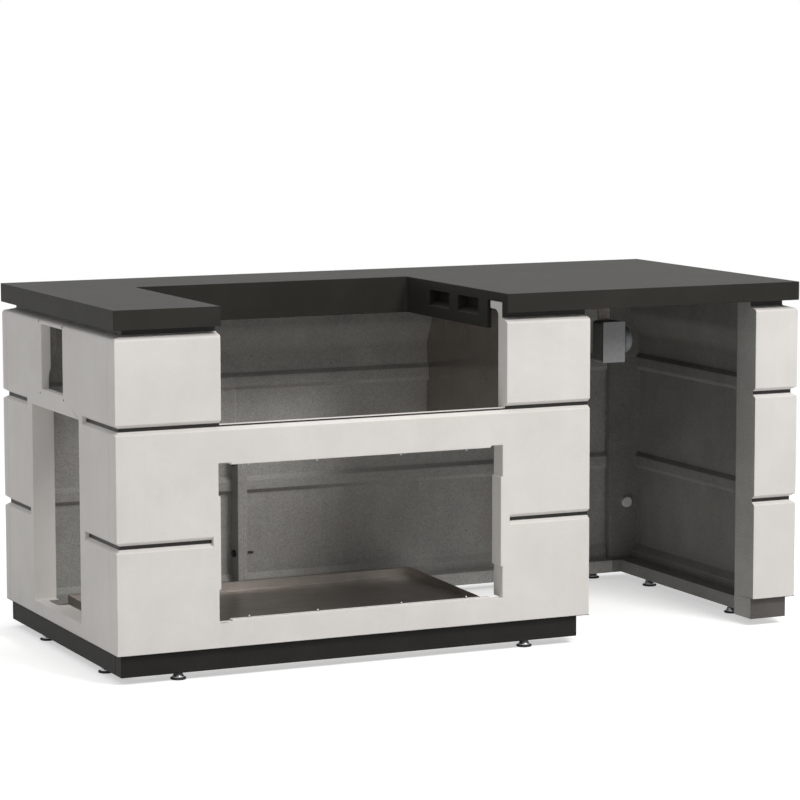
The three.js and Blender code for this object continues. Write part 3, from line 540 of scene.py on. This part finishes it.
def sort_panel_faces(mesh, outward):
    """Gives each face its finish: 0 white, 1 charcoal (painted shade in the grooves and screw holes), 2
    raw, 3 plinth.

    The mould formed the faces that look outwards. What it didn't reach is raw.
    """
    tree = BVHTree.FromBMesh(mesh)
    for face in mesh.faces:
        normal = face.normal
        centre = face.calc_center_median()
        towards = (outward + 0.4 * normal).normalized()
        clear = tree.ray_cast(centre + 0.0004 * normal, towards, 3.0)[0] is None
        formed = clear and normal.dot(outward) > -0.3
        axis = 0 if abs(normal.x) > abs(normal.y) else 1
        depth = wall_out[axis] - centre[axis] * (1 if normal[axis] > 0 else -1)
        outside = abs(normal[axis]) > 0.5 and depth < outer_skin
        in_bay = abs(normal.x) > 0.7 and min(abs(centre.x - side) for side in bay_sides) < 0.004
        # Painted shade: the walls and bottoms of the screw holes take the charcoal, so the holes read dark.
        screw_hole_shade = outward.x < 0 and (normal.x > -0.5 or depth > 0.009) and any(
            math.hypot(centre.y - hole_y, centre.z - hole_z) < screw_hole_reach
            for hole_y, hole_z in screw_holes)
        # Painted shade: the flat floor at the bottom of each groove takes the charcoal.
        groove_floor_shade = (abs(normal[axis]) > 0.95 and min(abs(centre.z - z) for z in groove_heights) < 0.008
                        and 0.009 < depth < 0.015)
        if not formed or in_bay:
            face.material_index = 2
        elif centre.z < plinth_top:
            face.material_index = 3
        elif screw_hole_shade or groove_floor_shade or (centre.z > block_top and outside):
            face.material_index = 1
        else:
            face.material_index = 0


def close_seam(mesh, axis, at, travel):
    """Moves the face of a seam up to its neighbour, so that no light shows through the joint."""
    on_seam = 0.00005
    for vert in mesh.verts:
        if abs(vert.co[axis] - at) < on_seam:
            vert.co[axis] += travel


# Above the flanges the two back sections were pointed up flush, so their edges show no joint there.
back_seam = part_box("back_panel_right")[0][0]
flange_top = 0.478
# How far a seam's face moves to close the joint's clearance.
end_seam_travel = 0.00027
back_seam_travel = 0.00033
panel_edge_mm = 1.8
panel_shortest_mm = 1.3


def on_back_seam(edge):
    """True for an edge in the pointed part of the seam between the back sections."""
    return all(abs(vert.co.x - back_seam) < 0.0008 and vert.co.z > flange_top for vert in edge.verts)


panel_splits = [((0, 0, plinth_top), (0, 0, 1)), ((0, 0, block_top), (0, 0, 1))]
# The flat faces are cut along the sides of each opening and beside the screw holes, so that none of
# them runs round a corner. Each entry is an axis (0 x, 1 y, 2 z) and the places along it.
opening_sides = {
    "left_end_panel": ((1, (-0.170, -0.0621, -0.052, -0.0461, 0.115, 0.1239, 0.140, 0.199)),
                       (2, (0.110, 0.626, 0.6585, 0.6675, 0.674, 0.841))),
    "front_panel": ((0, (-0.6945, -0.6865, 0.0845, 0.0965)), (2, (0.139, 0.535))),
}
for panel_name, panel_outward in (
    ("front_panel", Vector((0, -1, 0))),
    ("front_post", Vector((0, -1, 0))),
    ("left_end_panel", Vector((-1, 0, 0))),
    ("right_end_panel", Vector((1, 0, 0))),
    ("back_panel_left", Vector((0, 1, 0))),
    ("back_panel_right", Vector((0, 1, 0))),
):
    opening_splits = []
    for axis, sides in opening_sides.get(panel_name, ()):
        across = Vector(float(index == axis) for index in range(3))
        opening_splits += [(across * side, across) for side in sides]
    panel = cad_copy(panel_name, panel_splits + opening_splits)
    sort_panel_faces(panel, panel_outward)
    panel_low, panel_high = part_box(panel_name)
    if panel_name.endswith("end_panel"):
        close_seam(panel, 1, panel_low[1], -end_seam_travel)
        close_seam(panel, 1, panel_high[1], end_seam_travel)
    elif panel_name == "back_panel_right":
        close_seam(panel, 0, panel_low[0], -back_seam_travel)
    ease_edges(panel, panel_edge_mm, shortest_mm=panel_shortest_mm, left_sharp=on_back_seam)
    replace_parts(placed(panel_name + "_cast", panel, "island",
                       [white_cement, charcoal_and_shade_cement,
                        shaded_raw_cement if panel_name == "right_end_panel" else raw_cement,
                        lit_plinth_cement if panel_name == "front_post" else plinth_cement]), panel_name)


# Counter. One hollow-backed casting in charcoal cement, sealed on top, with a turned-down
# edge all round and an apron on the three sides of the grill cut-out.
# The counter was trowelled and sealed: darker and closer than the plinth, with a few small pits.
counter_cement = cast_cement(
    "sealed_counter_cement",
    light="#302F2B", dark="#2A2925", blush="#322F2B", pit="#0B0A0A",
    pit_share=0.12, pit_size=0.09, roughness=0.54, gloss=0.11,
    grain_mm=1.2, grain_depth_mm=0.04, fleck_mm=7.0, fleck=0.05, streak=0.010,
)
counter_edge_mm = 1.3
counter_shortest_mm = 4
counter = cad_copy("counter")
ease_edges(counter, counter_edge_mm, shortest_mm=counter_shortest_mm)
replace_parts(placed("counter_cast", counter, "island", [counter_cement]), "counter")


# Cabinet tray and heat shield. Both are folded from stainless sheet with a brushed face;
# the tray lies on the panels' bottom returns, the shield stands between cabinet and bay.
def brushed_sheet(name, tone, shade, along, roughness):
    """Brushed stainless: fine drawn lines along one axis, with a soft cloud and a few smears."""
    material, out = empty_material(name)
    tree = material.node_tree
    place = put(tree, "ShaderNodeTexCoord").outputs["Object"]
    stretch = tuple(0.012 if axis == along else 1.0 for axis in "xyz")
    drawn = put(tree, "ShaderNodeMapping", {"Vector": place, "Scale": stretch}).outputs[0]
    lines = put(tree, "ShaderNodeTexNoise",
                {"Vector": drawn, "Scale": 620.0, "Detail": 4.0, "Roughness": 0.7})
    smears = put(tree, "ShaderNodeTexNoise",
                 {"Vector": place, "Scale": 9.0, "Detail": 4.0, "Roughness": 0.6})
    mix = put(tree, "ShaderNodeMath", {0: lines.outputs[0], 1: smears.outputs[0]}, operation="ADD")
    step = put(tree, "ShaderNodeMapRange", {"Value": mix.outputs[0], "From Min": 0.75, "From Max": 1.25})
    colour = put(tree, "ShaderNodeMix", {0: step.outputs[0], 6: linear(shade), 7: linear(tone)},
                 data_type="RGBA")
    rough = put(tree, "ShaderNodeMapRange",
                {"Value": step.outputs[0], "To Min": roughness + 0.07, "To Max": roughness - 0.05})
    bump = put(tree, "ShaderNodeBump", {"Height": lines.outputs[0], "Strength": 0.3, "Distance": 0.0002})
    steel = put(tree, "ShaderNodeBsdfPrincipled", {
        "Base Color": colour.outputs[2],
        "Metallic": 1.0,
        "Roughness": rough.outputs[0],
        "Normal": bump.outputs[0],
    })
    tree.links.new(steel.outputs[0], out.inputs["Surface"])
    return material


tray_steel = brushed_sheet(
    "brushed_stainless_tray",
    tone="#B4AEA9", shade="#9C9691",
    along="x", roughness=0.38,
)
shield_steel = brushed_sheet(
    "brushed_stainless_shield",
    tone="#CFC9C3", shade="#BAB4AE",
    along="z", roughness=0.22,
)
sheet_edge_mm = 0.5
for sheet_name, sheet_steel in (("cabinet_tray", tray_steel), ("heat_shield", shield_steel)):
    folded = cad_copy(sheet_name)
    ease_edges(folded, sheet_edge_mm)
    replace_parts(placed(sheet_name + "_sheet", folded, "island", [sheet_steel]),
                sheet_name)


# Outlet box. A weatherproof cast box in grey paint with a flat blank cover, a round ribbed
# hub on its right, and a steel angle that hangs it from the counter.
box_paint = moulded(
    "speckled_grey_box_paint",
    tone="#7C7D7D", shade="#6A6B6B",
    roughness=0.55, grain_mm=0.8, bump_mm=0.1,
)
hub_paint = moulded(
    "moulded_grey_hub",
    tone="#66686A", shade="#55575A",
    roughness=0.5, grain_mm=0.8, bump_mm=0.1,
)
# The strap is plain steel, painted dark and brownish as painted shade for the deep shadow under the counter
# where it hangs.
strap_shade_steel = bare_steel(
    "strap_steel_painted_shade",
    tone="#77726D", shade="#57524E",
    rough_low=0.45, rough_high=0.6, spangle_mm=5.0,
)
# A black gasket fills the recess between the box and its cover, this far behind the box's front.
gasket_depth = 0.0051
for box_part, box_radius, box_look, box_slot in (
    ("outlet_box", 2.5, box_paint, "cast_box"),
    ("outlet_cover", 1.0, box_paint, "cast_box"),
    ("outlet_hub", 1.0, hub_paint, "cast_box"),
    ("outlet_bracket", 0.6, strap_shade_steel, "zinc"),
):
    part = cad_copy(box_part)
    gasket_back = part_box("outlet_box")[0][1] + gasket_depth
    for face in part.faces:
        in_gasket = box_part == "outlet_box" and face.calc_center_median().y < gasket_back
        face.material_index = int(in_gasket)
    ease_edges(part, box_radius)
    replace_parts(placed(box_part + "_finished", part, "island", [box_look, black_rubber]),
                box_part)


# Bolts. Hexagon bolts join the panels at the corners and through the two flanges of the
# back panels. A pale push-on cap covers one nut in the fridge bay.
# The bolts are black oxide steel: dark, with a thin oily gloss.
black_steel = bare_steel(
    "black_oxide_steel",
    tone="#3B3937", shade="#2C2A29",
    rough_low=0.35, rough_high=0.5, spangle_mm=3.0,
)
cap_plastic = moulded(
    "pale_moulded_nylon",
    tone="#E0DFDA", shade="#D2D1CC",
    roughness=0.45, grain_mm=0.8, bump_mm=0.05,
)
bolt_edge_mm = 0.5
cap_edge_mm = 1.5
for bolt_name in sorted(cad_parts):
    if bolt_name.startswith("corner_bolt_") or bolt_name.startswith("joint_bolt_"):
        bolt = cad_copy(bolt_name)
        ease_edges(bolt, bolt_edge_mm)
        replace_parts(placed(bolt_name + "_plated", bolt, "island", [black_steel]), bolt_name)
cap = cad_copy("bolt_cap")
ease_edges(cap, cap_edge_mm, segments=3)
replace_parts(placed("bolt_cap_moulded", cap, "island", [cap_plastic]), "bolt_cap")


# Door-edge screws. Eight small bright pan-head screws stand in the upper and lower edges of
# the door opening, ready for the door's frame.
sill_height = 0.144
lintel_height = 0.530
screw_setback = 0.014
screw_sides = 20
# A screw's outline from inside the cement to the top of its head: radius and height.
screw_outline = (
    (0.0017, -0.001),
    (0.0017, 0.0034),
    (0.0029, 0.0034),
    (0.0029, 0.0046),
    (0.0022, 0.0056),
    (0.0009, 0.0059),
)
screws = bmesh.new()
for screw_x in (0.352, 0.537, 0.767, 0.950):
    for root_height, up in ((sill_height, 1), (lintel_height, -1)):
        previous = None
        for reach, rise in screw_outline:
            ring = []
            for side in range(screw_sides):
                angle = math.tau * side / screw_sides
                ring.append(screws.verts.new((
                    screw_x - outer_half.x + reach * math.cos(angle),
                    screw_setback - outer_half.y + up * reach * math.sin(angle),
                    root_height + up * rise,
                )))
            if previous:
                for side in range(screw_sides):
                    ahead = (side + 1) % screw_sides
                    screws.faces.new((previous[side], previous[ahead], ring[ahead], ring[side]))
            else:
                screws.faces.new(list(reversed(ring)))
            previous = ring
        screws.faces.new(previous)
placed("door_edge_screws", screws, "island", [zinc_plate])
